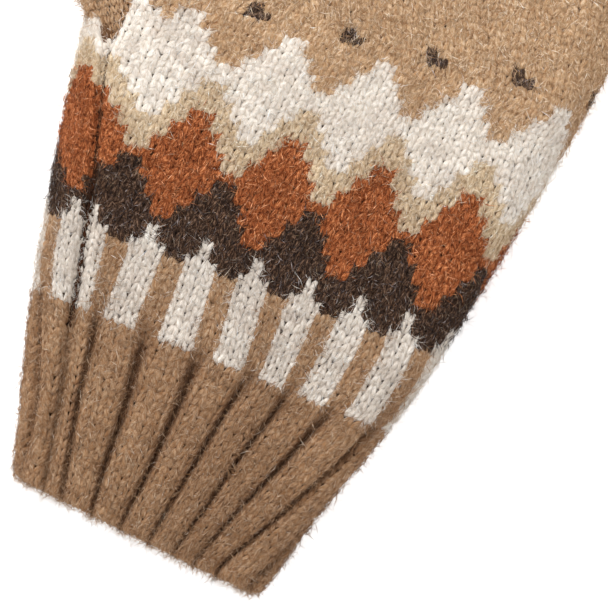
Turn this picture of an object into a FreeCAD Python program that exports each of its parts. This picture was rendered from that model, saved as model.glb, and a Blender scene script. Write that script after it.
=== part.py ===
import FreeCAD, Part
import math
import os

# A right-hand knitted mitten, lying flat with the back of the hand up (+Z) and the fingers pointing to +Y.
# It is a flattened tube of knitted fabric: ribbed cuff, patterned bands, plain hand, thumb with its gusset, and tips
# drawn closed. It is cut into the bands it is knitted in, and it folds at the wrist, the knuckles and the thumb root.
# The shape is drawn first about the middle of the cuff's rim, and moved at the end so that the origin is below the
# centre of the whole mitten, at the surface it lies on.

V = FreeCAD.Vector

# driving dimensions, mm
WALL = 2.6             # thickness of the knitted fabric
LENGTH = 250.0         # rim of the cuff to the tip of the fingers
RIM_H = 3.0            # height of the cast-on rim
CUFF_TOP = 40.0        # end of the ribbing, and the wrist fold
STRIPE_TOP = 66.0      # end of the striped band
DIAMOND_TOP = 88.0     # end of the diamond band
ZIGZAG_TOP = 108.0     # end of the zigzag band
KNUCKLE = 162.0        # finger fold
CAP_START = 212.0      # where the fingertip starts to narrow
TIP_Y = 244.0          # where the closing yarn sits

# outline of the hand: distance from the rim, half width, thickness
HAND = [
    (0.0, 28.8, 16.0), (10.0, 31.0, 16.0), (20.0, 34.0, 16.0), (30.0, 37.0, 16.4), (40.0, 40.5, 17.0),
    (50.0, 43.2, 17.6), (60.0, 45.0, 18.2), (80.0, 49.0, 19.2), (100.0, 52.0, 20.0), (127.0, 55.2, 20.0),
    (150.0, 56.0, 20.0), (175.0, 55.4, 20.0), (195.0, 53.0, 19.6), (212.0, 48.5, 19.0), (225.0, 41.0, 18.0),
    (236.0, 30.0, 16.0), (244.0, 18.0, 13.0), (250.0, 7.6, 9.0),
]
# outline of the thumb, along its own axis from the gusset's point: distance, half width, thickness
THUMB = [
    (-4.0, 4.0, 7.0), (2.0, 6.5, 12.0), (14.0, 9.4, 16.0), (30.0, 13.2, 18.6), (46.0, 16.6, 19.4),
    (62.0, 17.2, 19.2), (82.0, 16.6, 18.6), (96.0, 14.6, 17.4), (105.0, 11.0, 15.0), (110.0, 6.6, 11.0),
]
THUMB_ORIGIN = (-43.9, 98.6)
THUMB_ANGLE = 32.0     # the thumb leans away from the fingers
THUMB_FOLD = 62.0      # thumb fold, along the thumb
THUMB_TIP = 92.0       # where the thumb starts to narrow
THUMB_GATHER = 106.5

# the folds: half the range on each face is the slope of the gap's sides there, so the two sides meet at the limit
WRIST_UP, WRIST_DOWN = 60.0, 60.0
FINGER_UP, FINGER_DOWN = 20.0, 75.0
THUMB_UP, THUMB_DOWN = 20.0, 60.0
FOLD_GAP = 0.35        # half the gap at the fold line
REST = 0.06            # how far the soft underside is pressed flat where it lies

SEAM = [(-22.3, 3.3), (-26.3, 22.0), (-30.6, 38.0), (-33.0, 49.0), (-37.0, 66.0), (-45.0, 91.0)]
SEAM_R = 1.1


def section(w, t, y):
    # flattened ring of the tube: flat on the ground, round at the two edges
    r = t / 2.0
    a, b = V(-w + r, y, 0), V(w - r, y, 0)
    c, d = V(w - r, y, t), V(-w + r, y, t)
    return Part.Wire([
        Part.LineSegment(a, b).toShape(),
        Part.Arc(b, V(w, y, r), c).toShape(),
        Part.LineSegment(c, d).toShape(),
        Part.Arc(d, V(-w, y, r), a).toShape(),
    ])


def tube(rows):
    return Part.makeLoft([section(w, t, y) for y, w, t in rows], True, True)


def lining(rows, start, end):
    # the space inside: one wall in from the outside
    inner = []
    for y, w, t in rows:
        inner.append((y, max(w - WALL, 2.2), max(t - 2 * WALL, 3.0)))
    inner[0] = (inner[0][0] + start,) + inner[0][1:]
    inner[-1] = (inner[-1][0] - end,) + inner[-1][1:]
    s = tube(inner)
    s.translate(V(0, 0, WALL))
    return s


def to_thumb(shape):
    s = shape.copy()
    s.rotate(V(0, 0, 0), V(0, 0, 1), THUMB_ANGLE)
    s.translate(V(THUMB_ORIGIN[0], THUMB_ORIGIN[1], 0))
    return s


def prism(points, low=-40.0, high=60.0):
    w = Part.makePolygon([V(x, y, low) for x, y in points + points[:1]])
    return Part.Face(w).extrude(V(0, 0, high - low))


def beyond(y, z, up, down, side):
    # everything past a fold at height z: side is +1 for the far side and -1 for the near side. The gap opens to the
    # top face by half of the upward range, and to the bottom face by half of the downward range.
    big = 400.0
    g = FOLD_GAP
    tu, td = math.tan(math.radians(up / 2)), math.tan(math.radians(down / 2))
    h = 60.0
    pts = [
        V(-big, y + side * g, z), V(-big, y + side * (g + h * tu), z + h), V(-big, y + side * big, z + h),
        V(-big, y + side * big, z - h), V(-big, y + side * (g + h * td), z - h),
    ]
    f = Part.Face(Part.makePolygon(pts + pts[:1]))
    return f.extrude(V(2 * big, 0, 0))


def slab(y0, y1):
    b = Part.makeBox(400, y1 - y0, 100, V(-200, y0, -40))
    return b


def one(shape):
    # keeps the one real solid of a cut, without slivers
    solids = sorted(shape.Solids, key=lambda s: s.Volume)
    if not solids:
        raise RuntimeError("a piece came out empty")
    return solids[-1]


def rod(points, r):
    body = None
    for p, q in zip(points[:-1], points[1:]):
        c = Part.makeCylinder(r, (q - p).Length, p, q - p)
        body = c if body is None else body.fuse(c)
    for p in points[1:-1]:
        body = body.fuse(Part.makeSphere(r, p))
    return body.removeSplitter()


def thickness(rows, y):
    for (y0, _, t0), (y1, _, t1) in zip(rows[:-1], rows[1:]):
        if y0 <= y <= y1:
            return t0 + (t1 - t0) * (y - y0) / (y1 - y0)
    return rows[-1][2]


def width(rows, y):
    for (y0, w0, _), (y1, w1, _) in zip(rows[:-1], rows[1:]):
        if y0 <= y <= y1:
            return w0 + (w1 - w0) * (y - y0) / (y1 - y0)
    return rows[-1][1]


hand_out = tube(HAND)
hand_in = lining(HAND, -5.0, 4.0)
thumb_out = to_thumb(tube(THUMB))
thumb_in = to_thumb(lining(THUMB, 3.0, 3.4))

# the underside is one true plane, where the mitten rests
below = Part.makeBox(600, 600, 60, V(-300, -200, -60))
hand_out.translate(V(0, 0, -REST))
thumb_out.translate(V(0, 0, -REST))
hand_out = hand_out.cut(below)
thumb_out = thumb_out.cut(below)
outer = hand_out.fuse(thumb_out)
inner = hand_in.fuse(thumb_in)

WRIST_Z = thickness(HAND, CUFF_TOP) / 2
FINGER_Z = thickness(HAND, KNUCKLE) / 2
THUMB_Z = thickness(THUMB, THUMB_FOLD) / 2

cuff_half = beyond(CUFF_TOP, WRIST_Z, WRIST_UP, WRIST_DOWN, -1)
hand_low = beyond(CUFF_TOP, WRIST_Z, WRIST_UP, WRIST_DOWN, +1)
hand_high = beyond(KNUCKLE, FINGER_Z, FINGER_UP, FINGER_DOWN, -1)
finger_half = beyond(KNUCKLE, FINGER_Z, FINGER_UP, FINGER_DOWN, +1)
thumb_far = to_thumb(beyond(THUMB_FOLD, THUMB_Z, THUMB_UP, THUMB_DOWN, +1))
thumb_near = to_thumb(beyond(THUMB_FOLD, THUMB_Z, THUMB_UP, THUMB_DOWN, -1))

# plan of the gusset: it starts in a point on the side, and takes in the whole thumb root outside the hand
GUSSET = [(-45.6, 91.5), (-55.2, 151.5), (-130.0, 200.0), (-130.0, 60.0), (-60.0, 91.5)]
gusset_plan = prism(GUSSET)
# the thumb beyond the fold lies wholly outside the hand
thumb_zone = to_thumb(Part.makeBox(120, 140, 100, V(-60, 40, -40))).common(prism([(-56.3, 90), (-56.3, 260), (-160, 260), (-160, 90)]))

shell = outer.cut(inner)

# the seam's closing yarn lies in a channel of the back of the hand
seam_points = [V(x, y, thickness(HAND, y) - 0.9) for x, y in SEAM]
seam = rod(seam_points, SEAM_R)
shell = shell.cut(seam)

parts = {}
hand_shell = shell.cut(gusset_plan).common(hand_low).common(hand_high)
cuff_shell = shell.common(cuff_half)
finger_shell = hand_out.cut(hand_in).common(finger_half)

parts["cast_on_edge"] = one(cuff_shell.common(slab(-5, RIM_H)))
parts["cuff_ribbing"] = one(cuff_shell.common(slab(RIM_H, 60)))
parts["stripe_band"] = one(hand_shell.common(slab(0, STRIPE_TOP)))
parts["diamond_band"] = one(hand_shell.common(slab(STRIPE_TOP, DIAMOND_TOP)))
parts["zigzag_band"] = one(hand_shell.common(slab(DIAMOND_TOP, ZIGZAG_TOP)))
parts["hand_panel"] = one(hand_shell.common(slab(ZIGZAG_TOP, 200)))
parts["thumb_gusset"] = one(shell.common(gusset_plan).common(thumb_near))
parts["cuff_seam"] = one(seam.common(cuff_half))
parts["hand_seam"] = one(seam.common(hand_low))
parts["finger_panel"] = one(finger_shell.common(slab(100, CAP_START)))

# the tips end in a few stitches held by a ring of closing yarn
tip_z = thickness(HAND, TIP_Y) / 2
tip_ring = Part.makeTorus(2.2, 0.9, V(0, LENGTH, thickness(HAND, LENGTH) / 2), V(0, 1, 0))
cap = finger_shell.common(slab(CAP_START, 300)).cut(tip_ring)
parts["fingertip_cap"] = one(cap)
parts["tip_gather"] = tip_ring

thumb_shell = thumb_out.cut(thumb_in).common(thumb_far)
thumb_ring = Part.makeTorus(2.0, 0.9, V(0, THUMB[-1][0], THUMB[-1][2] / 2), V(0, 1, 0))
thumb_ring = to_thumb(thumb_ring)
parts["thumb_tube"] = one(thumb_shell.common(to_thumb(slab(0, THUMB_TIP))))
parts["thumb_tip"] = one(thumb_shell.common(to_thumb(slab(THUMB_TIP, 200))).cut(thumb_ring))
parts["thumb_gather"] = thumb_ring

# move the whole mitten so that the origin is below its centre
box = None
for s in parts.values():
    b = s.optimalBoundingBox(True, False)
    if box is None:
        box = b
    else:
        box.add(b)
shift = V(-(box.XMin + box.XMax) / 2, -(box.YMin + box.YMax) / 2, -box.ZMin)
print("shift", round(shift.x, 4), round(shift.y, 4), round(shift.z, 4), "size", round(box.XLength, 2), round(box.YLength, 2), round(box.ZLength, 2))

os.makedirs("parts", exist_ok=True)
for name, s in parts.items():
    s = s.copy()
    s.translate(shift)
    print(name, s.ShapeType, "valid", s.isValid(), "solids", len(s.Solids), "volume", round(s.Volume, 1))
    s.exportStep("parts/" + name + ".step")
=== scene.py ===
import math

import bpy
import numpy as np
from mathutils import Matrix, Vector


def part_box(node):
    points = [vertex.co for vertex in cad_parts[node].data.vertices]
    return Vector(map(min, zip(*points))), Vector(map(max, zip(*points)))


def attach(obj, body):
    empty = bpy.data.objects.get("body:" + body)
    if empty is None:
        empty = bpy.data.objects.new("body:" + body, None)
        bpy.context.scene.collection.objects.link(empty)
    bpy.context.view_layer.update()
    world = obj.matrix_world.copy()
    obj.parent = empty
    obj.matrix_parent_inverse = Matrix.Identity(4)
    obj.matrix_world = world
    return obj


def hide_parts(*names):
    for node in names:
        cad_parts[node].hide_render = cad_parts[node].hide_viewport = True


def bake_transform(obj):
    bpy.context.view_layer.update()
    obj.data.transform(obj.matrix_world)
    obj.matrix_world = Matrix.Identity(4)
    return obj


# A right-hand knitted mitten, made stitch by stitch. Every stitch is a pair of yarn legs laid on the flattened tube of
# the hand or the thumb, with loose fibres standing out of it. Lengths are in millimetres until a mesh is written.

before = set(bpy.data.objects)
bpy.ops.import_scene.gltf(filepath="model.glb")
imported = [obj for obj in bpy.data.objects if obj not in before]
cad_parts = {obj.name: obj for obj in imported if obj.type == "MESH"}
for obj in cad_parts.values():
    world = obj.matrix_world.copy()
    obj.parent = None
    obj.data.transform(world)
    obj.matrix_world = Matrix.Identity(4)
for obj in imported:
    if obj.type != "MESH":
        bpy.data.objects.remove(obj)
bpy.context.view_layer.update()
MM = 0.001
rng = np.random.default_rng(20)

rib_lo, rib_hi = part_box("cuff_ribbing")
rim_lo, rim_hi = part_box("cast_on_edge")
SX = (rib_lo.x + rib_hi.x) / 2 / MM      # the middle of the cuff
SY = rim_lo.y / MM                       # the rim of the cuff

# ------------------------------------------------------------------ the shape


def table(rows, col, lo, hi, sigma, step=0.5):
    """A smooth curve through a table, as (positions, values)."""
    r = np.array(rows, float)
    g = np.arange(lo - 30, hi + 30 + step, step)
    v = np.interp(g, r[:, 0], r[:, col])
    a = (r[1, col] - r[0, col]) / (r[1, 0] - r[0, 0])
    b = (r[-1, col] - r[-2, col]) / (r[-1, 0] - r[-2, 0])
    v = np.where(g < r[0, 0], r[0, col] + a * (g - r[0, 0]), v)
    v = np.where(g > r[-1, 0], r[-1, col] + b * (g - r[-1, 0]), v)
    k = np.arange(-int(3 * sigma / step), int(3 * sigma / step) + 1) * step
    k = np.exp(-0.5 * (k / sigma) ** 2)
    k /= k.sum()
    pad = len(k) // 2
    v = np.convolve(np.pad(v, pad, mode="edge"), k, mode="valid")
    return g, v


HAND = [
    (0.0, 28.8, 15.0), (10.0, 31.0, 15.2), (20.0, 34.0, 15.6), (30.0, 37.0, 16.2), (40.0, 40.5, 17.0),
    (50.0, 43.2, 17.6), (60.0, 45.0, 18.2), (70.0, 47.0, 18.8), (80.0, 49.0, 19.2), (90.0, 50.5, 19.6),
    (100.0, 52.0, 19.8), (110.0, 53.3, 20.0), (127.0, 55.2, 20.0), (150.0, 56.0, 20.0), (175.0, 55.4, 20.0),
    (195.0, 53.0, 19.6), (212.0, 48.5, 18.6), (225.0, 41.0, 17.0), (236.0, 30.0, 14.5), (244.0, 18.5, 11.0),
    (250.0, 7.0, 6.0),
]
HW = table(HAND, 1, 0, 250, 2.5)
HT = table(HAND, 2, 0, 250, 2.5)
THUMB = [
    (-6.0, 4.0, 15.0), (2.0, 6.8, 16.4), (14.0, 9.8, 17.0), (30.0, 13.4, 18.0), (46.0, 16.6, 18.8),
    (62.0, 17.2, 18.8), (82.0, 16.6, 18.2), (94.0, 14.6, 16.6), (103.0, 10.8, 13.6), (109.5, 5.0, 7.0),
]
TW = table(THUMB, 1, -6, 110, 2.0)
TT = table(THUMB, 2, -6, 110, 2.0)
T_O = np.array([-43.9, 98.6])
T_A = math.radians(32.0)
T_D = np.array([-math.sin(T_A), math.cos(T_A)])
T_N = np.array([math.cos(T_A), math.sin(T_A)])

NW = 88                                   # wales round the hand
ROW_Y = np.array([(-20, 0.0), (0, 40.0), (12, 63.3), (25, 87.8), (29, 94.7), (33, 101.0), (38, 108.8), (40, 112.5), (120, 252.5)])
SEAM = np.array([(-10, -20.2), (0, -22.4), (22, -26.6), (49, -33.0), (66, -37.0), (78, -41.2), (92.5, -45.8), (100, -44.2),
                 (108, -43.0), (116, -43.4), (130, -47.5), (142, -55.0), (150, -59.0), (170, -60.0), (260, -60.0)])
HOLE = np.array([(-10, 0.0), (92.5, 0.0), (100, 7.4), (108, 12.0), (116, 14.0), (130, 11.0), (146, 0.0), (260, 0.0)])
TILT = np.array([(-10, -4.4), (0, -4.4), (40, 0.0), (75, 4.0), (113, 7.6), (150, 7.6), (205, 0.0), (260, 0.0)])
# where the wales lie on the back of the hand: height, then pairs of wale and distance from the middle line.
# The knitting gains wales above the stripes, so the bands above them have a count of their own.
CHANGE = 12
LOW_WALES = {
    0.0: [(0, -22.4), (3, -18.0), (8, -10.8), (13, -4.0), (18, 2.7), (23, 8.4), (28, 13.2), (33, 18.5)],
    42.0: [(0, -31.4), (5.5, -21.5), (10.5, -7.9), (15.5, 4.6), (20.5, 14.0), (25.5, 23.2), (30.5, 34.8)],
    53.0: [(0, -34.0), (5.5, -20.9), (10.5, -8.6), (15.5, 3.0), (20.5, 14.2), (25.5, 24.8), (30.5, 36.2)],
    66.0: [(0, -37.4), (5.5, -21.5), (10.5, -9.4), (15.5, 1.4), (20.5, 14.2), (25.5, 25.5), (30.5, 35.8)],
}
HIGH_WALES = {
    64.0: [(-4, -50.5), (8, -21.0), (16, -0.8), (24, 18.0), (32, 37.8)],
    78.0: [(-4, -51.0), (4, -31.4), (8, -20.6), (16, -0.2), (24, 18.6), (32, 38.2)],
    92.0: [(-4, -51.5), (4, -31.6), (12, -9.6), (20, 9.6), (28, 28.8), (32, 38.4)],
    108.0: [(-2, -48.0), (4, -30.5), (12, -7.8), (20, 11.1), (28, 29.6), (36, 47.6)],
    115.0: [(0, -38.5), (8, -15.4), (16, 2.9), (24, 21.1), (32, 40.2)],
}


def ev(curve, x):
    return np.interp(x, curve[0], curve[1])


def lin(pairs, x):
    return np.interp(x, pairs[:, 0], pairs[:, 1])


def arc_of(x, w, t):
    """Arc coordinate, from the middle of the top face, of a point of the top face at x."""
    r = t / 2
    f = w - r
    over = np.clip((np.abs(x) - f) / r, 0, 1)
    return np.sign(x) * (np.minimum(np.abs(x), f) + r * np.arcsin(over))


def perim(w, t):
    return 4 * (w - t / 2) + math.pi * t


def ring(a, w, t):
    """Point and outward normal of the flattened ring at arc coordinate a, as x, z, nx, nz."""
    r = t / 2
    f = w - r
    p = perim(w, t)
    a = (a + p / 2) % p - p / 2
    sg = np.where(a >= 0, 1.0, -1.0)
    b = np.abs(a)
    phi = np.clip((b - f) / r, 0, math.pi)
    under = np.maximum(b - f - math.pi * r, 0)
    x = np.minimum(b, f) + r * np.sin(phi) - under
    z = r + r * np.cos(phi)
    return sg * x, z, sg * np.sin(phi), np.cos(phi)


def wale_arcs(wales, count, u0):
    """For each height, the arc coordinate of each wale's edge, from u0 to count, which ends at the seam."""
    heights, rows_ = [], []
    u = np.arange(u0, count + 1)
    for y, pts in wales.items():
        w, t = ev(HW, y), ev(HT, y)
        end = arc_of(lin(SEAM, y), w, t) + perim(w, t) - lin(HOLE, y)
        us = [float(p[0]) for p in pts]
        ar = [float(arc_of(np.array(p[1]), w, t)) for p in pts]
        if us[0] > u0:
            k = (ar[1] - ar[0]) / (us[1] - us[0])
            ar.insert(0, ar[0] - k * (us[0] - u0))
            us.insert(0, float(u0))
        us.append(float(count))
        ar.append(float(end))
        v = np.interp(u, us, ar)
        k = np.array([1, 3, 4, 3, 1], float)
        k /= k.sum()
        pad = np.concatenate([[2 * v[0] - v[2], 2 * v[0] - v[1]], v, [2 * v[-1] - v[-2], 2 * v[-1] - v[-3]]])
        w_ = np.convolve(pad, k, mode="valid")
        w_[0], w_[-1] = v[0], v[-1]
        heights.append(y)
        rows_.append(w_)
    return heights, rows_


U0 = -6
LOW_Y, LOW = wale_arcs(LOW_WALES, NW, 0)
HIGH_Y, HIGH = wale_arcs(HIGH_WALES, NW, U0)
HIGH_END = 0
for yy in (140.0, 165.0, 175.0, 185.0, 196.0, 205.0):
    # towards the fingers the wales spread evenly from one side to the other
    w_, t_ = ev(HW, yy), ev(HT, yy)
    p_ = perim(w_, t_)
    left = -p_ / 4
    even = left + (np.arange(U0, NW + 1)) / NW * p_
    if yy == 140.0:
        even = 0.5 * even + 0.5 * (HIGH[-1] * (p_ / perim(ev(HW, 115.0), ev(HT, 115.0))))
    HIGH_Y.append(yy)
    HIGH.append(even)
LOW_Y, LOW, HIGH_Y, HIGH = map(np.array, (LOW_Y, LOW, HIGH_Y, HIGH))
CAP_Y = 196.0


def ribness(y):
    s = np.clip((43.0 - y) / 12.0, 0, 1)
    return s * s * (3 - 2 * s)


def rib_warp(u, y):
    """Purl wales draw in behind the knit ones: moves a wale towards its rib's middle."""
    k = ribness(y)
    ph = (u - 5.5) / 5.0
    d = ph - np.round(ph)                 # -0.5 to 0.5 in a repeat, 0 in the middle of the rib
    return u - 5.0 * k * 0.085 * np.sin(2 * math.pi * d) * -1.0


def grid_arc(heights, rows_, u, y, u0):
    u = np.clip(u, u0, NW)
    yi = np.clip(np.interp(y, heights, np.arange(len(heights))), 0, len(heights) - 1.001)
    j = yi.astype(int)
    f = yi - j
    lo = np.floor(u).astype(int)
    hi = np.minimum(lo + 1, NW)
    g = u - lo
    a = rows_[j, lo - u0] * (1 - g) + rows_[j, hi - u0] * g
    b = rows_[j + 1, lo - u0] * (1 - g) + rows_[j + 1, hi - u0] * g
    return a * (1 - f) + b * f


def waves(x, y, seed):
    """Slow unevenness of the fabric."""
    q = np.zeros_like(x)
    for k, (fx, fy, ph) in enumerate([(0.071, 0.043, 0.3), (0.031, 0.083, 1.9), (0.123, 0.097, 4.1), (0.052, 0.151, 2.6)]):
        q = q + np.sin(fx * x * (1 + 0.1 * k) + fy * y + ph + seed * 1.7) / (1 + 0.5 * k)
    return q / 2.4


def groove(u, y):
    """How far a point of the cuff is from its rib's middle, 0 to 0.5, the furrows wandering a little."""
    q = (u - 5.5) / 5.0
    g = np.floor(q)
    return np.clip(0.5 - np.abs(q - g - 0.5 - 0.05 * waves(y * 2.2, g * 31.0, 2.0)), 0, 0.5)


class Hand:
    def cap_arc(self, u):
        w, t = ev(HW, CAP_Y), ev(HT, CAP_Y)
        return grid_arc(HIGH_Y, HIGH, u, np.full_like(u, CAP_Y), U0), perim(w, t)

    def arc(self, u, y, high):
        w, t = ev(HW, y), ev(HT, y)
        low = grid_arc(LOW_Y, LOW, rib_warp(u, y), y, 0)
        up = grid_arc(HIGH_Y, HIGH, u, y, U0)
        free = np.where(high, up, low)
        # beyond the start of the cap the wales run straight on and end at the sides
        ac, pc = self.cap_arc(u)
        p = perim(w, t)
        capped = np.where(ac < pc / 4, ac, p / 2 + (ac - pc / 2))
        return np.where(y > CAP_Y, capped, free), w, t

    def gone(self, u, c):
        """Stitches that the seam, the gusset and the decreases of the tip have taken away."""
        y = lin(ROW_Y, c)
        ac, pc = self.cap_arc(u)
        p = perim(ev(HW, y), ev(HT, y))
        off = np.where(ac < pc / 4, np.abs(ac), np.abs(ac - pc / 2))
        tip = (y > CAP_Y) & (off > p / 4 + 0.45)
        a, w, t = self.arc(u, y, c >= CHANGE)
        x, z, _, _ = ring(a, w, t)
        y1 = y + x * np.tan(np.radians(lin(TILT, y)))
        a, w, t = self.arc(u, y1, c >= CHANGE)
        cut = (c >= CHANGE) & (u < 20) & (a < arc_of(lin(SEAM, y1), w, t) + 0.4) & (y1 < 150)
        extra = (y >= 150) & (u < 0)
        return tip | cut | extra

    def at(self, u, c, h, high=None):
        u = np.asarray(u, float)
        if high is None:
            high = c >= CHANGE
        y0 = lin(ROW_Y, c) + np.where(c < -20, (c + 20) * 2.0, 0)
        a, w, t = self.arc(u, y0, high)
        x, z, nx, nz = ring(a, w, t)
        y = y0 + x * np.tan(np.radians(lin(TILT, y0)))
        y = y + 0.35 * waves(x, y0, 3.0)
        a, w, t = self.arc(u, y, high)
        x, z, nx, nz = ring(a, w, t)
        seam = arc_of(lin(SEAM, np.minimum(y, 146.0)), w, t)
        span = perim(w, t) - lin(HOLE, y)
        from_seam = np.minimum(np.abs(a - seam), np.abs(seam + span - a))
        lift = h + self.relief(u, y, y0, nz, from_seam, x)
        return np.stack([x + nx * lift, y, z + nz * lift], -1)

    def plain(self, share, y, h):
        """The fabric's own surface without its wales: share 0 to 1 round from the left side."""
        w, t = ev(HW, y), ev(HT, y)
        a = (share - 0.25) * perim(w, t)
        x, z, nx, nz = ring(a, w, t)
        y1 = y + x * np.tan(np.radians(lin(TILT, y)))
        w, t = ev(HW, y1), ev(HT, y1)
        a = (share - 0.25) * perim(w, t)
        x, z, nx, nz = ring(a, w, t)
        seam = arc_of(lin(SEAM, np.minimum(y1, 146.0)), w, t)
        d = np.abs(a - seam) / 2.4
        lift = h - 1.6 * np.exp(-d ** 2) * np.clip((150 - y1) / 30, 0, 1)
        return np.stack([x + nx * lift, y1, z + nz * lift], -1)

    def relief(self, u, y, y0, nz, from_seam, x):
        k = ribness(y0)
        d = groove(u, y0)
        rib = 1.0 - 1.2 * np.clip(np.abs(d) / 0.40, 0, 1) ** 2 - 3.5 * np.clip((np.abs(d) - 0.25) / 0.22, 0, 1) ** 1.2
        k = k * (0.55 + 0.45 * np.clip(y0 / 4, 0, 1))
        fs = from_seam / 2.3
        near = np.interp(y, [94, 106, 150], [1.0, 0.30, 0.0])
        crease = -3.0 * np.exp(-((fs / 0.75) ** 2)) * near
        plump = -0.8 * np.exp(-((fs - 1.2) / 2.4) ** 2) * near
        flat = np.clip(nz, 0, 1)
        return k * rib - 0.35 + crease * (0.35 + 0.65 * flat) + plump + 0.5 * waves(x * 1.6, y0, 0.0)


class Thumb:
    """The gusset and the thumb: a tube along its own axis, with its wales straight and cut off at the sides."""
    pitch = 2.32

    def s_of(self, c):
        return -8.0 + 1.75 * c

    def count(self):
        return 40

    def spread(self, s):
        """The gusset's wales fan out from its point."""
        return np.clip(ev(TW, s) / 16.6, 0.1, 1.0) ** np.where(s < 50, 0.62, 0.0)

    def at(self, u, c, h, bare=False):
        s = self.s_of(c)
        w, t = ev(TW, s), ev(TT, s)
        n = self.count()
        front = u < n / 2
        off = np.where(front, u - n / 4, u - 3 * n / 4) * self.pitch * self.spread(s)
        a = np.where(front, off, perim(w, t) / 2 + off)
        x, z, nx, nz = ring(a, w, t)
        s = s + 0.25 * waves(x, s, 7.0)
        lift = h - 0.35 + 0.3 * waves(u * 2.3 + 40, s, 2.0)
        lift = lift - 1.5 * np.abs(2 * (u - np.floor(u)) - 1) ** 2.0 * np.clip((60 - s) / 30, 0, 1)
        x, z = x + nx * lift, z + (20.0 - t) * 0.5 * np.clip((60 - s) / 60, 0, 1) + nz * lift
        # beside the hand the gusset is as thick as the hand is, and runs in under its edge
        zc = t / 2 + (20.0 - t) * 0.5 * np.clip((60 - s) / 60, 0, 1)
        k = np.clip(x / w / 0.62, 0, 1) ** 1.4 * np.clip((84 - s) / 20, 0, 1) * np.clip((s + 8) / 8, 0, 1)
        z = z + k * (9.8 + (z - zc) * (19.4 / t) - z)
        x = x + 6.5 * np.clip(x / w / 0.8, 0, 1) ** 2 * np.clip((76 - s) / 18, 0, 1) * np.clip((s + 8) / 10, 0, 1)
        q = T_O[None, :] + s[..., None] * T_D + x[..., None] * T_N if np.ndim(s) else None
        return np.stack([q[..., 0], q[..., 1], z], -1)

    def gone(self, u, c):
        s = self.s_of(c)
        w, t = ev(TW, s), ev(TT, s)
        n = self.count()
        off = np.where(u < n / 2, np.abs(u - n / 4), np.abs(u - 3 * n / 4)) * self.pitch * self.spread(s)
        return off > perim(w, t) / 4 + 0.5


def in_thumb(p):
    """How deep a point is inside the thumb, along its width and thickness, negative outside."""
    q = p[..., :2] - T_O
    s = q @ T_D
    x = q @ T_N
    w, t = ev(TW, s), ev(TT, s)
    zc = t / 2 + (20.0 - t) * 0.5 * np.clip((60 - s) / 60, 0, 1)
    r = t / 2
    ex = np.maximum(np.abs(x) - (w - r), 0)
    d = r - np.hypot(ex, p[..., 2] - zc)
    return np.where((s > -5) & (s < 108), d, -5.0)


def in_hand(p):
    y = p[..., 1]
    w, t = ev(HW, y), ev(HT, y)
    r = t / 2
    ex = np.maximum(np.abs(p[..., 0]) - (w - r), 0)
    d = r - np.hypot(ex, p[..., 2] - r)
    return d


hand, thumb = Hand(), Thumb()

# ------------------------------------------------------------------ the chart

BROWN, CREAM, WHITE, OAT, RUST, DARK = range(6)
COLOUR_NAMES = ["brown", "cream", "white", "oat", "rust", "dark", "floats"]


def chart(i, r):
    i, r = np.broadcast_arrays(np.asarray(i), np.asarray(r))
    out = np.full(i.shape, BROWN)
    front = i <= 43
    j = NW - 1 - i
    m = np.where(front, (i - 4) % 5, j % 5)
    white = m <= 2
    mid = m == 1
    jog = np.where(i > 60, 2, 0)          # the pattern does not quite meet itself at the seam
    d = (i + jog + 0.5) % 8
    d = np.minimum(d, 8 - d)              # wales from the middle of a diamond
    e = 4 - d                             # wales from the point between two diamonds
    k = np.floor(d).astype(int)
    out = np.where((r >= 9) & (r <= 25), DARK, out)
    out = np.where((r >= 0) & white & ((r < 10) | (mid & (r < 12))), WHITE, out)
    first = np.array([13, 15, 17, 19])[np.clip(k, 0, 3)]
    last = np.array([25, 23, 21, 19])[np.clip(k, 0, 3)]
    last = last + jog
    out = np.where((r >= first) & (r <= last), RUST, out)
    out = np.where((r > last) & (r <= last + 4), OAT, out)
    top = np.array([32, 34, 36, 38])[np.clip(k, 0, 3)] + jog
    top = np.where(i < 0, 41, np.where(i == 0, 40, np.where(i == 1, 37, top)))      # the cream runs up beside the gusset
    out = np.where((r > last + 4) & (r <= top), CREAM, out)
    out = np.where((r > top), BROWN, out)
    out = np.where((d < 1) & (i > 4) & ((r == 40) | ((r == 41) & (i % 8 == 7))), DARK, out)
    out = np.where(r < 0, BROWN, out)
    return out


# ------------------------------------------------------------------ meshes

def tint(s, red, blue):
    """Darker is also redder, and paler greyer: gives both the yarn's own flecks and the painted shade their colour."""
    s = np.maximum(s, 0.01)
    return np.stack([s ** red, s, s ** blue], -1)


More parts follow.
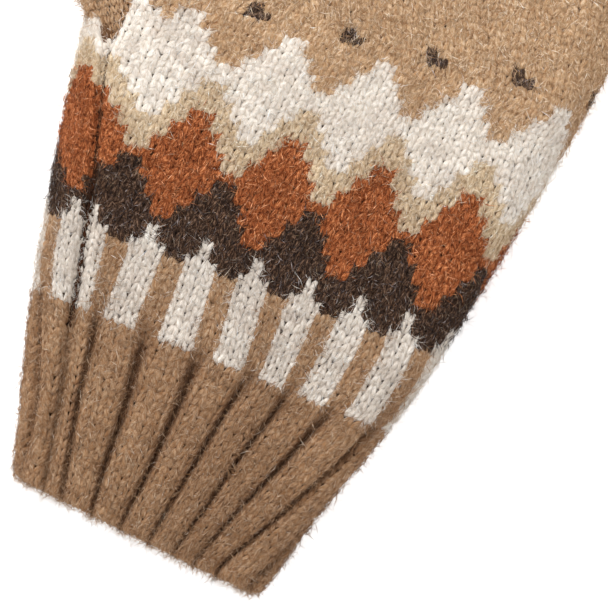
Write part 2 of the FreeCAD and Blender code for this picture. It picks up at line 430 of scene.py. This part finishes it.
class Pile:
    """Vertices and faces of one piece, gathered bit by bit."""

    def __init__(self):
        self.v, self.q, self.t, self.yc, self.sh = [], [], [], [], []
        self.n = 0

    def add(self, v, quads, tris, yc, sh):
        v = v.reshape(-1, 3)
        self.v.append(v)
        if quads is not None and len(quads):
            self.q.append(quads.reshape(-1, 4) + self.n)
        if tris is not None and len(tris):
            self.t.append(tris.reshape(-1, 3) + self.n)
        self.yc.append(yc.reshape(-1, 3))
        self.sh.append(sh.reshape(-1, 3) if sh.ndim == 3 else tint(sh.reshape(-1), 0.80, 1.12))
        self.n += len(v)

    def mesh(self, name):
        v = (np.concatenate(self.v) + np.array([SX, SY, 0.0])) * MM
        q = np.concatenate(self.q) if self.q else np.zeros((0, 4), int)
        t = np.concatenate(self.t) if self.t else np.zeros((0, 3), int)
        me = bpy.data.meshes.new(name)
        me.vertices.add(len(v))
        me.vertices.foreach_set("co", v.astype(np.float32).ravel())
        me.loops.add(q.size + t.size)
        me.loops.foreach_set("vertex_index", np.concatenate([q.ravel(), t.ravel()]).astype(np.int32))
        me.polygons.add(len(q) + len(t))
        starts = np.concatenate([np.arange(len(q)) * 4, q.size + np.arange(len(t)) * 3]).astype(np.int32)
        me.polygons.foreach_set("loop_start", starts)
        me.polygons.foreach_set("use_smooth", np.ones(len(q) + len(t), bool))
        me.update(calc_edges=True)
        a = me.attributes.new("yarn", "FLOAT_VECTOR", "POINT")
        a.data.foreach_set("vector", np.concatenate(self.yc).astype(np.float32).ravel())
        a = me.attributes.new("shade", "FLOAT_VECTOR", "POINT")
        a.data.foreach_set("vector", np.concatenate(self.sh).astype(np.float32).ravel())
        ob = bpy.data.objects.new(name, me)
        bpy.context.scene.collection.objects.link(ob)
        return ob


piles = {}


def pile(key):
    if key not in piles:
        piles[key] = Pile()
    return piles[key]


def tubes(c, nrm, rb, rn, sides, seeds, shade, p, along=None):
    """Closed tubes round the centre lines c [n, k, 3]. nrm [n, k, 3] is out of the fabric; rb and rn [n, k] the half
    widths across and along it."""
    n, k, _ = c.shape
    tan = np.gradient(c, axis=1)
    tan /= np.linalg.norm(tan, axis=-1, keepdims=True) + 1e-9
    nn = nrm - (nrm * tan).sum(-1, keepdims=True) * tan
    nn /= np.linalg.norm(nn, axis=-1, keepdims=True) + 1e-9
    bb = np.cross(tan, nn)
    ang = np.arange(sides) / sides * 2 * math.pi
    ca, sa = np.cos(ang), np.sin(ang)
    ringv = c[:, :, None, :] + rb[:, :, None, None] * ca[None, None, :, None] * bb[:, :, None, :] + rn[:, :, None, None] * sa[None, None, :, None] * nn[:, :, None, :]
    ends = np.stack([c[:, 0] - tan[:, 0] * rb[:, :1] * 0.6, c[:, -1] + tan[:, -1] * rb[:, -1:] * 0.6], 1)
    v = np.concatenate([ringv.reshape(n, k * sides, 3), ends], 1)
    per = k * sides + 2
    base = (np.arange(n) * per)[:, None]
    a = (np.arange(k - 1)[:, None] * sides + np.arange(sides)[None, :]).ravel()
    b = (np.arange(k - 1)[:, None] * sides + (np.arange(sides)[None, :] + 1) % sides).ravel()
    quads = np.stack([a, b, b + sides, a + sides], -1)
    s = np.arange(sides)
    cap0 = np.stack([np.full(sides, k * sides), (s + 1) % sides, s], -1)
    cap1 = np.stack([np.full(sides, k * sides + 1), (k - 1) * sides + s, (k - 1) * sides + (s + 1) % sides], -1)
    tris = np.concatenate([cap0, cap1])
    if along is None:
        seg = np.linalg.norm(np.diff(c, axis=1), axis=-1)
        along = np.concatenate([np.zeros((n, 1)), np.cumsum(seg, 1)], 1)
    yc = np.zeros((n, per, 3))
    yc[:, : k * sides, 0] = np.repeat(along, sides, 1)
    yc[:, k * sides, 0] = along[:, 0]
    yc[:, k * sides + 1, 0] = along[:, -1]
    yc[:, : k * sides, 1] = np.tile(ca, k)[None, :]
    yc[:, : k * sides, 2] = np.tile(sa, k)[None, :]
    yc[:, :, 0] += seeds[:, None] * 7.0
    yc[:, :, 1] += seeds[:, None] * 3.0
    sh = np.repeat(shade[:, None], per, 1)
    p.add(v, (quads[None] + base[:, :, None]), (tris[None] + base[:, :, None]), yc, sh)
    return v


def normals(surf, u, c, high=None):
    e = 0.2
    kw = {} if high is None else {"high": high}
    a = surf.at(u + e, c, 0 * u, **kw) - surf.at(u - e, c, 0 * u, **kw)
    b = surf.at(u, c + e, 0 * u, **kw) - surf.at(u, c - e, 0 * u, **kw)
    nrm = np.cross(a, b)
    return nrm / (np.linalg.norm(nrm, axis=-1, keepdims=True) + 1e-9)


def hairs(pos, nrm, tangent, key_piles, keys, shade, bright, length, width, lean, along):
    """Loose fibres: thin bent spindles from pos. lean is how far each stands out of the fabric, from 0 to 1, and
    along how far it follows the yarn."""
    n = len(pos)
    r = rng.normal(size=(n, 3))
    flat = r - (r * nrm).sum(-1, keepdims=True) * nrm
    flat = flat / (np.linalg.norm(flat, axis=-1, keepdims=True) + 1e-9)
    lean = lean[:, None]
    way = np.where(rng.random((n, 1)) < 0.5, -1.0, 1.0)
    d0 = flat * (1 - along[:, None]) + tangent * way * along[:, None]
    d0 /= np.linalg.norm(d0, axis=-1, keepdims=True) + 1e-9
    d0 = d0 * np.sqrt(np.maximum(1 - lean ** 2, 0)) + nrm * lean
    curl = np.cross(d0, nrm + 0.3 * rng.normal(size=(n, 3)))
    curl /= np.linalg.norm(curl, axis=-1, keepdims=True) + 1e-9
    bend = rng.normal(size=(n, 1)) * 0.5
    L = length[:, None]
    p0 = pos
    pm = pos + d0 * L * 0.5 + curl * bend * L * 0.16 + nrm * L * 0.03
    p3 = pos + d0 * L * 1.0 + curl * bend * L * 0.55 - nrm * L * 0.10
    side = np.cross(d0, nrm)
    side /= np.linalg.norm(side, axis=-1, keepdims=True) + 1e-9
    up = np.cross(side, d0)
    ring3 = [pm + (side * math.cos(a) + up * math.sin(a)) * width[:, None] for a in (0.4, 0.4 + 2.094, 0.4 + 4.189)]
    v = np.stack([p0] + ring3 + [p3], 1)
    tris = np.array([(0, 2, 1), (0, 3, 2), (0, 1, 3), (4, 1, 2), (4, 2, 3), (4, 3, 1)])
    sh = tint(shade, 0.80, 1.12) * tint(bright, 0.66, 1.38)
    for k in np.unique(keys):
        m = keys == k
        nn = int(m.sum())
        base = (np.arange(nn) * 5)[:, None, None]
        yc = np.zeros((nn, 5, 3))
        yc[:, :, 0] = np.array([0, 1, 1, 1, 2])[None] * 0.3
        yc[:, :, 1] = rng.uniform(0, 900, nn)[:, None]
        pile(key_piles[k]).add(v[m], None, tris[None] + base, yc, np.repeat(sh[m][:, None], 5, 1))


def stitches(surf, u, c, col, node, seed, dense=1.0, squeeze=None):
    """One V of two yarn legs for each stitch, and its loose fibres. u, c: the stitch's middle wale and its row."""
    n = len(u)
    ju = rng.normal(size=n) * 0.035
    jc = rng.normal(size=n) * 0.055
    size = 1 + rng.normal(size=n) * 0.06
    wob = waves(u * 9.0, c * 5.0, seed) * 0.04
    tone = 1 + rng.normal(size=n) * 0.05 + 0.05 * waves(u * 6.0, c * 4.0, seed + 4)
    # local wale pitch
    z0 = np.zeros(n)
    high = c >= CHANGE
    kw = {"high": high} if surf is hand else {}
    pa = surf.at(u + 0.3, c + 0.5, z0, **kw)
    pb = surf.at(u - 0.3, c + 0.5, z0, **kw)
    pitch = np.clip(np.linalg.norm(pa - pb, axis=-1) / 0.6, 0.9, 3.2)
    tk = np.array([0.0, 0.18, 0.42, 0.70, 1.0])
    k = len(tk)
    mids, nms = [], []
    for side in (-1, 1):
        skew = rng.normal(size=n) * 0.03
        du = side * (0.10 + 0.36 * (tk[None] ** 0.85)) + (skew + ju + wob)[:, None]
        dc = -0.22 + 1.42 * tk[None] + (jc + side * 0.02)[:, None]
        h = np.array([-0.42, 0.02, 0.16, -0.02, -0.60])[None] + rng.normal(size=(n, k)) * 0.06
        uu = (u[:, None] + du).ravel()
        cc = (c[:, None] + dc).ravel()
        kw2 = {"high": np.repeat(high, k)} if surf is hand else {}
        ctr = surf.at(uu, cc, h.ravel(), **kw2).reshape(n, k, 3)
        nrm = normals(surf, uu, cc, **kw2).reshape(n, k, 3)
        rb = (LEG[col] * pitch * size)[:, None] * np.array([0.78, 1.02, 1.10, 1.02, 0.80])[None] * (1 + rng.normal(size=(n, k)) * 0.08)
        rn = np.minimum(rb * 0.76, 0.46)
        mids.append(ctr)
        nms.append(nrm)
        for kk in np.unique(node * 8 + col):
            m = node * 8 + col == kk
            tubes(ctr[m], nrm[m], rb[m], rn[m], 6, (u * 1.37 + c * 0.731 + side * 0.3)[m] % 97.0, tone[m] * shade_of(surf, u[m] + side * 0.34, c[m], col[m]), pile((NODES[kk // 8], kk % 8)))
    # loose fibres
    ctr = np.concatenate(mids)
    nrm = np.concatenate(nms)
    cols = np.concatenate([col, col])
    nds = np.concatenate([node, node])
    tn = np.concatenate([tone, tone])
    shades = np.concatenate([shade_of(surf, u + side * 0.34, c, col) for side in (-1, 1)])
    # two kinds: short ones matted over the yarn, and longer ones that stand off as a halo
    for per, lo_len, sig, wid, lean_lo, lean_hi, alongness in ((HAIRS, 0.62, 0.34, (0.050, 0.105), 0.00, 0.16, 0.50), (HAIRS * 0.15, 0.95, 0.40, (0.020, 0.034), 0.15, 0.95, 0.1)):
        count = int(len(ctr) * per * dense)
        pick = rng.integers(0, len(ctr), count)
        pick = pick[rng.random(count) < MANY[cols[pick]]]
        count = len(pick)
        spot = rng.integers(1, k - 1, count)
        nr = nrm[pick, spot]
        up = rng.uniform(0.34, 0.62, count)[:, None]
        tan = ctr[pick, spot + 1] - ctr[pick, spot - 1]
        tan /= np.linalg.norm(tan, axis=-1, keepdims=True) + 1e-9
        acr = np.cross(tan, nr)
        pos = ctr[pick, spot] + nr * up + acr * rng.uniform(-0.45, 0.45, count)[:, None] + tan * rng.uniform(-0.5, 0.5, count)[:, None]
        length = np.clip(rng.lognormal(lo_len, sig, count), 0.7, 5.0)
        width = rng.uniform(wid[0], wid[1], count) * WIDE[cols[pick]]
        lean = rng.uniform(lean_lo, lean_hi, count) ** 1.2
        yarn = cols[pick]
        if lean_hi > 0.5:
            # pale hairs stray over the dark colours
            stray = rng.random(count) < 0.22
            yarn = np.where(stray & (yarn >= RUST) & (nds[pick] == 2), WHITE, yarn)
            yarn = np.where(stray & (yarn >= RUST) & (nds[pick] == 3), OAT, yarn)
        keys = nds[pick] * 8 + yarn
        names = {kk: (NODES[kk // 8], kk % 8) for kk in np.unique(keys)}
        bright = np.minimum(np.exp(rng.normal(size=count) * FLECK[cols[pick]] + FLECK[cols[pick]] * 0.15), np.where(cols[pick] == RUST, 2.1, 3.2))
        bright = np.where(yarn != cols[pick], 0.75, bright)
        hairs(pos, nr, tan, names, keys, tn[pick] * shades[pick], bright, length, width, lean, np.clip(rng.normal(alongness, 0.2, count), 0, 1))


def shade_of(surf, u, c, col):
    """The brown is darker towards the cuff, partly painted shade for light falling off towards the cuff and partly a
    darker brown yarn. The cuff's furrows are darkened further as painted shade, and so is the gusset towards its
    point.
    """
    if surf is hand:
        y = lin(ROW_Y, c)
        d = groove(u, y)
        k = ribness(y)
        # darker towards the cuff: painted shade for light falling off away from the fingers, partly also a darker
        # brown yarn in the cuff
        height = np.interp(y, [0, 20, 38, 46, 66, 95, 120], [0.53, 0.545, 0.56, 0.62, 0.76, 0.94, 1.0])
        height = height * (1 + k * 0.10 * waves(u * 2.0, y, 11.0))
        height = np.where(col == BROWN, height, np.where((col == DARK) & (c > 30), 1.7, 1.0))
        # painted shade: the furrows between the cuff's ribs are darkened on top of their real depth
        deep = 0.92 + 0.06 * waves(y * 1.5, u * 3.0, 9.0)
        return height * (1 - k * np.clip(deep, 0, 0.95) * np.clip((d - 0.255) / 0.15, 0, 1))
    # painted shade: the gusset darkens towards its point, a recess between the hand and the thumb
    return 0.72 + 0.28 * np.clip((thumb.s_of(c) - 2) / 30, 0, 1)


NODES = ["cast_on_edge", "cuff_ribbing", "stripe_band", "diamond_band", "zigzag_band", "hand_panel", "finger_panel", "fingertip_cap", "thumb_gusset", "thumb_tube", "thumb_tip"]
HAIRS = 13.0
# by colour: how unlike each other the loose fibres are, how wide and how many they are, and how full the yarn is
FLECK = np.array([0.30, 0.11, 0.12, 0.26, 0.54, 0.80])
WIDE = np.array([0.80, 0.66, 0.64, 0.76, 0.82, 0.82])
MANY = np.array([1.0, 0.95, 0.90, 0.90, 0.80, 0.80])
LEG = np.array([0.280, 0.244, 0.236, 0.250, 0.268, 0.270])

# the hand
rows = np.arange(-20, 119)
U, C = np.meshgrid(np.arange(U0, NW) + 0.5, rows.astype(float))
U, C = U.ravel(), C.ravel()
inside = (U > 0) | (C >= CHANGE)
U, C = U[inside], C[inside]
col = chart(np.floor(U).astype(int), C.astype(int))
y_row = lin(ROW_Y, C)
keep = ~hand.gone(U, C)
mid = hand.at(U, C + 0.5, np.zeros_like(U))
keep &= ~((in_thumb(mid) > 3.4) & (mid[:, 1] > 95))
node = np.select([y_row < 40, y_row < 66, y_row < 88, y_row < 108, y_row < 162, y_row < 212], [1, 2, 3, 4, 5, 6], 7)
U, C, col, node = U[keep], C[keep], col[keep], node[keep]
stitches(hand, U, C, col, node, 1.0)

# the gusset and the thumb
rows = np.arange(0, 68)
n = thumb.count()
TU, TC = np.meshgrid(np.arange(n) + 0.5, rows.astype(float))
TU, TC = TU.ravel(), TC.ravel()
keep = ~thumb.gone(TU, TC)
mid = thumb.at(TU, TC + 0.5, np.zeros_like(TU))
keep &= in_hand(mid) < np.where(thumb.s_of(TC) < 66, 5.4, 2.6)
s = thumb.s_of(TC)
node = np.select([s < 62, s < 92], [8, 9], 10)
TU, TC, node = TU[keep], TC[keep], node[keep]
for part, dense in ((thumb.s_of(TC) < 40, 0.35), (thumb.s_of(TC) >= 40, 1.0)):
    stitches(thumb, TU[part], TC[part], np.full(int(part.sum()), BROWN), node[part], 5.0, dense)

# the cast-on rim: slanted loops of yarn over the edge, two for each wale
u = np.arange(NW * 2) * 0.5 + 0.25
n = len(u)
tk = np.linspace(0, 1, 7)
wrap = np.linspace(-0.6, math.pi + 0.5, 7)
cc = -20.02 - 0.30 * np.sin(wrap)[None] + rng.normal(size=(n, 1)) * 0.02
hh = (0.60 * np.cos(wrap) - 0.85)[None] + np.zeros((n, 1))
uu = u[:, None] + (tk[None] - 0.5) * 0.55 + rng.normal(size=(n, 1)) * 0.03
ctr = hand.at(uu.ravel(), cc.ravel(), hh.ravel()).reshape(n, 7, 3)
nrm = normals(hand, uu.ravel(), cc.ravel()).reshape(n, 7, 3)
axis = np.array([0.0, -1.0, 0.0])
nrm = nrm * np.cos(wrap)[None, :, None] + axis * np.maximum(np.sin(wrap), 0)[None, :, None]
rb = np.full((n, 7), 0.44)
# the rim is darkened like the cuff's lowest rows: partly painted shade, partly a darker brown yarn
tubes(ctr, nrm, rb, rb * 0.9, 6, u % 31, 0.56 + 0.05 * rng.normal(size=n), pile(("cast_on_edge", BROWN)))
for per, med, lo, hi, out0, out1 in ((26, 0.45, 0.03, 0.06, 0.0, 0.45), (20, 0.85, 0.018, 0.032, 0.3, 1.0)):
    count = int(n * per)
    pick = rng.integers(0, n, count)
    spot = rng.integers(1, 6, count)
    # its fibres carry the same darkening as the rim
    hairs(ctr[pick, spot] + rng.normal(size=(count, 3)) * 0.3, nrm[pick, spot], np.tile(axis, (count, 1)), {0: ("cast_on_edge", BROWN)}, np.zeros(count, int),
          np.full(count, 0.60), np.exp(rng.normal(size=count) * 0.25), np.clip(rng.lognormal(med, 0.4, count), 0.8, 4.0), rng.uniform(lo, hi, count), rng.uniform(out0, out1, count), rng.uniform(0.0, 0.4, count))

# the closing yarn of the side, laced from edge to edge deep in the crease
def lacing(y0, y1, key):
    n = int((y1 - y0) / 1.9)
    yy = np.linspace(y0 + 0.8, y1 - 0.8, n)
    f = np.linspace(0, 1, 7)
    off = np.where(np.arange(n) % 2 == 0, 1.0, -1.0)[:, None] * (f[None] * 2 - 1) * 0.75
    ys = yy[:, None] + (f[None] - 0.5) * 2.3
    w, t = ev(HW, ys), ev(HT, ys)
    a = arc_of(lin(SEAM, ys), w, t) + off
    x, z, nx, nz = ring(a, w, t)
    lift = -3.7 + 0.4 * np.sin(f * math.pi)[None]
    ctr = np.stack([x + nx * lift, ys, z + nz * lift], -1)
    nr = np.stack([nx, 0 * nx, nz], -1)
    # painted shade: the lacing yarn is darkened almost to black for the shadow deep in the crease
    tubes(ctr, nr, np.full((n, 7), 0.42), np.full((n, 7), 0.36), 6, np.arange(n) * 0.77, np.full(n, 0.05) + 0.005 * rng.normal(size=n), pile(key))


lacing(1.0, 40.0, ("cuff_seam", BROWN))
lacing(40.0, 92.0, ("hand_seam", BROWN))

# ------------------------------------------------------------------ the inner face: the floats behind the stitches


def inner_sheet(surf_at, nu, ys, depth0, depth1, key, shade, cap=None):
    """A closed wall between two depths below the surface, round the whole tube."""
    p = pile(key)
    uu = np.arange(nu) / nu
    UU, YY = np.meshgrid(uu, ys)
    m = len(ys)
    outs = []
    for dep in (depth0, depth1):
        bump = 0.14 * np.sin(UU * nu * math.pi * 1.0) * np.sin(YY * math.pi / 1.75)
        outs.append(surf_at(UU.ravel(), YY.ravel(), (dep + bump).ravel()).reshape(m, nu, 3))
    v = np.concatenate([outs[0].reshape(-1, 3), outs[1].reshape(-1, 3)])
    j, i = np.meshgrid(np.arange(m - 1), np.arange(nu), indexing="ij")
    a, b = j * nu + i, j * nu + (i + 1) % nu
    q0 = np.stack([a, b, b + nu, a + nu], -1).reshape(-1, 4)
    q1 = q0[:, ::-1] + m * nu
    i = np.arange(nu)
    low = np.stack([i, i + m * nu, (i + 1) % nu + m * nu, (i + 1) % nu], -1)
    k = (m - 1) * nu
    up = np.stack([k + i, k + (i + 1) % nu, k + (i + 1) % nu + m * nu, k + i + m * nu], -1)
    yc = np.concatenate([np.stack([YY * 1.0, UU * nu * 1.3, 0 * UU], -1).reshape(-1, 3), np.stack([YY + 50, UU * nu * 1.3, 0 * UU], -1).reshape(-1, 3)])
    dim = np.ones_like(UU)
    if surf_at == hand.plain:
        # in shadow along the seam's crease
        w, t = ev(HW, YY), ev(HT, YY)
        off = (UU - 0.25) * perim(w, t) - arc_of(lin(SEAM, YY), w, t)
        dim = 1 - 0.92 * np.exp(-(off / 3.2) ** 2) * np.clip((112 - YY) / 10, 0, 1)
    sh = np.concatenate([dim.ravel() * shade[0], dim.ravel() * shade[1]])
    p.add(v, np.concatenate([q0, q1, low, up]), None, yc, sh)


# The lining stands for the real floats behind the stitches; its shade pairs, for its outer and inner face, darken it
# as painted shade for the gaps between the stitches.
inner_sheet(hand.plain, 176, np.arange(0.6, 61.0, 1.0), -2.0, -3.2, ("cuff_ribbing", 6), (0.30, 0.55))
inner_sheet(hand.plain, 176, np.arange(60.0, 122.0, 1.0), -1.7, -2.9, ("diamond_band", 6), (0.42, 0.6))
inner_sheet(hand.plain, 176, np.concatenate([np.arange(121.0, 244.0, 1.0)]), -1.6, -2.8, ("hand_panel", 6), (0.5, 0.6))



def thumb_plain(share, s, h):
    w, t = ev(TW, s), ev(TT, s)
    x, z, nx, nz = ring((share - 0.25) * perim(w, t), w, t)
    x, z = x + nx * h, z + (20.0 - t) * 0.5 * np.clip((60 - s) / 60, 0, 1) + nz * h
    q = T_O + s[..., None] * T_D + x[..., None] * T_N
    return np.stack([q[..., 0], q[..., 1], z], -1)


# painted shade on the thumb's lining, as on the hand's
inner_sheet(thumb_plain, 72, np.arange(48.0, 107.0, 1.0), -1.6, -2.8, ("thumb_tube", 6), (0.6, 0.6))


def gather(centre, axis, key, R, turns):
    """The closing yarn: a few turns drawn tight round the last stitches, and its strands over the hole."""
    ax = np.array([axis[0], axis[1], 0.0])
    e1 = np.array([-ax[1], ax[0], 0.0])
    e2 = np.array([0.0, 0.0, 1.0])
    for k in range(turns):
        ph = np.linspace(0, 2 * math.pi, 26)
        rr = R * (1 + 0.05 * np.sin(3 * ph + k * 2.1)) - 0.12 * k
        c = centre + ax * (k - (turns - 1) / 2) * 0.75 + rr[:, None] * (np.cos(ph)[:, None] * e1 + np.sin(ph)[:, None] * e2) + 0.1 * np.sin(5 * ph + k)[:, None] * ax
        nr = np.cos(ph)[:, None] * e1 + np.sin(ph)[:, None] * e2
        tubes(c[None], nr[None], np.full((1, 26), 0.5), np.full((1, 26), 0.5), 7, np.array([k * 1.7]), np.array([0.82]), pile(key))
    n = 9
    for k in range(n):
        th = k * math.pi / n
        f = np.linspace(-1, 1, 9)
        c = centre + ax * (0.9 + 0.9 * (1 - f ** 2))[:, None] * 0.9 + (f * R * 1.05)[:, None] * (math.cos(th) * e1 + math.sin(th) * e2)
        nr = np.tile(ax, (9, 1))
        tubes(c[None], nr[None], np.full((1, 9), 0.48), np.full((1, 9), 0.42), 6, np.array([k * 2.3]), np.array([0.9]), pile(key))


gather(np.array([0.0, 250.0, 3.05]), (0.0, 1.0), ("tip_gather", BROWN), 2.35, 3)
tipc = T_O + T_D * 109.5
gather(np.array([tipc[0], tipc[1], 3.5]), (T_D[0], T_D[1]), ("thumb_gather", BROWN), 2.15, 3)

# ------------------------------------------------------------------ materials

YARN = {
    # base, dark fibre, pale fibre (linear)
    BROWN: ((0.625, 0.412, 0.238), (0.480, 0.260, 0.118), (0.770, 0.590, 0.415)),
    CREAM: ((0.900, 0.820, 0.730), (0.790, 0.690, 0.585), (0.940, 0.890, 0.830)),
    WHITE: ((0.790, 0.708, 0.625), (0.640, 0.550, 0.460), (0.880, 0.820, 0.750)),
    OAT: ((0.680, 0.520, 0.345), (0.480, 0.335, 0.195), (0.820, 0.700, 0.550)),
    RUST: ((0.365, 0.100, 0.031), (0.085, 0.020, 0.008), (0.710, 0.285, 0.115)),
    DARK: ((0.054, 0.029, 0.018), (0.011, 0.006, 0.005), (0.250, 0.145, 0.092)),
    # the lining of floats: a brown darker than the hand's yarn, painted shade for the gaps between the stitches
    6: ((0.330, 0.205, 0.115), (0.200, 0.115, 0.060), (0.480, 0.330, 0.210)),
}


def yarn_material(name, base, low, high):
    m = bpy.data.materials.new(name)
    m.use_nodes = True
    nt = m.node_tree
    nt.nodes.clear()
    N, Lk = nt.nodes.new, nt.links.new
    out = N("ShaderNodeOutputMaterial")
    p = N("ShaderNodeBsdfPrincipled")
    Lk(p.outputs[0], out.inputs[0])
    p.inputs["Roughness"].default_value = 0.95
    p.inputs["Specular IOR Level"].default_value = 0.15
    p.inputs["Sheen Weight"].default_value = 0.12
    p.inputs["Sheen Tint"].default_value = (*[x ** 0.5 for x in base], 1)
    p.inputs["Sheen Roughness"].default_value = 0.45
    at = N("ShaderNodeAttribute")
    at.attribute_name = "yarn"
    mp = N("ShaderNodeMapping")
    mp.inputs["Scale"].default_value = (0.55, 1.1, 1.1)
    Lk(at.outputs["Vector"], mp.inputs["Vector"])
    fine = N("ShaderNodeTexNoise")
    fine.inputs["Scale"].default_value = 1.9
    fine.inputs["Detail"].default_value = 5.0
    fine.inputs["Roughness"].default_value = 0.72
    Lk(mp.outputs[0], fine.inputs["Vector"])
    ramp = N("ShaderNodeValToRGB")
    e = ramp.color_ramp.elements
    e[0].position, e[0].color = 0.40, (*low, 1)
    e[1].position, e[1].color = 0.60, (*high, 1)
    a = e.new(0.47)
    a.color = (*[x * 0.90 for x in base], 1)
    b = e.new(0.53)
    b.color = (*[x * 1.05 for x in base], 1)
    Lk(fine.outputs["Fac"], ramp.inputs["Fac"])
    sh = N("ShaderNodeAttribute")
    sh.attribute_name = "shade"
    mul = N("ShaderNodeVectorMath")
    mul.operation = "MULTIPLY"
    Lk(ramp.outputs["Color"], mul.inputs[0])
    Lk(sh.outputs["Vector"], mul.inputs[1])
    Lk(mul.outputs[0], p.inputs["Base Color"])
    mp2 = N("ShaderNodeMapping")
    mp2.inputs["Scale"].default_value = (1.2, 5.0, 5.0)
    Lk(at.outputs["Vector"], mp2.inputs["Vector"])
    grain = N("ShaderNodeTexNoise")
    grain.inputs["Scale"].default_value = 2.4
    grain.inputs["Detail"].default_value = 4.0
    Lk(mp2.outputs[0], grain.inputs["Vector"])
    bump = N("ShaderNodeBump")
    bump.inputs["Strength"].default_value = 0.5
    bump.inputs["Distance"].default_value = 0.0002
    Lk(grain.outputs["Fac"], bump.inputs["Height"])
    Lk(bump.outputs[0], p.inputs["Normal"])
    return m


mats = {k: yarn_material(COLOUR_NAMES[k] + "_yarn", *YARN[k]) for k in YARN}


def put(x, y, z=0.0):
    return ((x + SX) * MM, (y + SY) * MM, z * MM)


def go(ob, node):
    """The fingertip's pieces follow the fingers, the thumb's tip the thumb, and the diamond and zigzag bands the hand;
    the rest stay fixed where they lie.
    """
    if node in ("cast_on_edge", "cuff_ribbing", "cuff_seam", "stripe_band", "hand_seam"):
        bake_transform(ob)
    elif node in ("hand_panel", "finger_panel"):
        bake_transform(ob)
    elif node in ("fingertip_cap", "tip_gather"):
        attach(ob, "fingers")
    elif node in ("thumb_gusset", "thumb_tube"):
        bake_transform(ob)
    elif node in ("thumb_tip", "thumb_gather"):
        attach(ob, "thumb")
    else:
        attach(ob, "hand")


objects = []
for (node, colour), p in sorted(piles.items()):
    ob = p.mesh(node + "_" + COLOUR_NAMES[colour])
    ob.data.materials.append(mats[colour])
    go(ob, node)
    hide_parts(node)
    objects.append(ob)
    print(ob.name, len(ob.data.vertices), sum(1 for _ in ob.data.polygons))

# ------------------------------------------------------------------ stage, light, camera

floor_z = -0.0012
bpy.ops.mesh.primitive_plane_add(size=6, location=(0, 0, floor_z))
floor = bpy.context.object
floor.name = "floor"
fm = bpy.data.materials.new("floor_white")
fm.use_nodes = True
fp = fm.node_tree.nodes["Principled BSDF"]
fp.inputs["Base Color"].default_value = (0.93, 0.93, 0.93, 1)
fp.inputs["Roughness"].default_value = 0.9
fp.inputs["Emission Color"].default_value = (1, 1, 1, 1)
fp.inputs["Emission Strength"].default_value = 0.6
floor.data.materials.append(fm)

world = bpy.data.worlds.new("studio")
bpy.context.scene.world = world
world.use_nodes = True
bg = world.node_tree.nodes["Background"]
bg.inputs["Color"].default_value = (1, 1, 1, 1)
bg.inputs["Strength"].default_value = 0.72


def area(name, loc, target, size, power):
    d = bpy.data.lights.new(name, "AREA")
    d.size = size
    d.energy = power
    o = bpy.data.objects.new(name, d)
    o.location = loc
    o.rotation_mode = "QUATERNION"
    o.rotation_quaternion = (Vector(target) - Vector(loc)).to_track_quat("-Z", "Y")
    bpy.context.scene.collection.objects.link(o)
    return o


centre = Vector(put(14.2, 58.2, 18.0))
right = Vector((0.927, 0.375, 0.0)).normalized()
upv = Vector((-0.375, 0.927, 0.0)).normalized()
area("key", centre + upv * 0.9 + Vector((0, 0, 1.0)) - right * 0.2, centre, 0.9, 14.0)
area("fill", centre - right * 0.9 + Vector((0, 0, 0.8)), centre, 0.9, 3.0)

cam_data = bpy.data.cameras.new("camera")
cam = bpy.data.objects.new("camera", cam_data)
bpy.context.scene.collection.objects.link(cam)
bpy.context.scene.camera = cam
DIST = 0.75
cam_data.sensor_width = 36.0
cam_data.lens = 36.0 * DIST / 0.128
cam.location = centre + Vector((0, 0, DIST))
cam.rotation_mode = "QUATERNION"
cam.rotation_quaternion = Matrix((right, upv, Vector((0, 0, 1)))).transposed().to_quaternion()
cam_data.clip_start = 0.05
cam_data.clip_end = 20
bpy.context.scene.view_settings.view_transform = "Standard"
bpy.context.scene.view_settings.look = "None"
bpy.context.scene.view_settings.exposure = 0.0

bpy.context.view_layer.update()
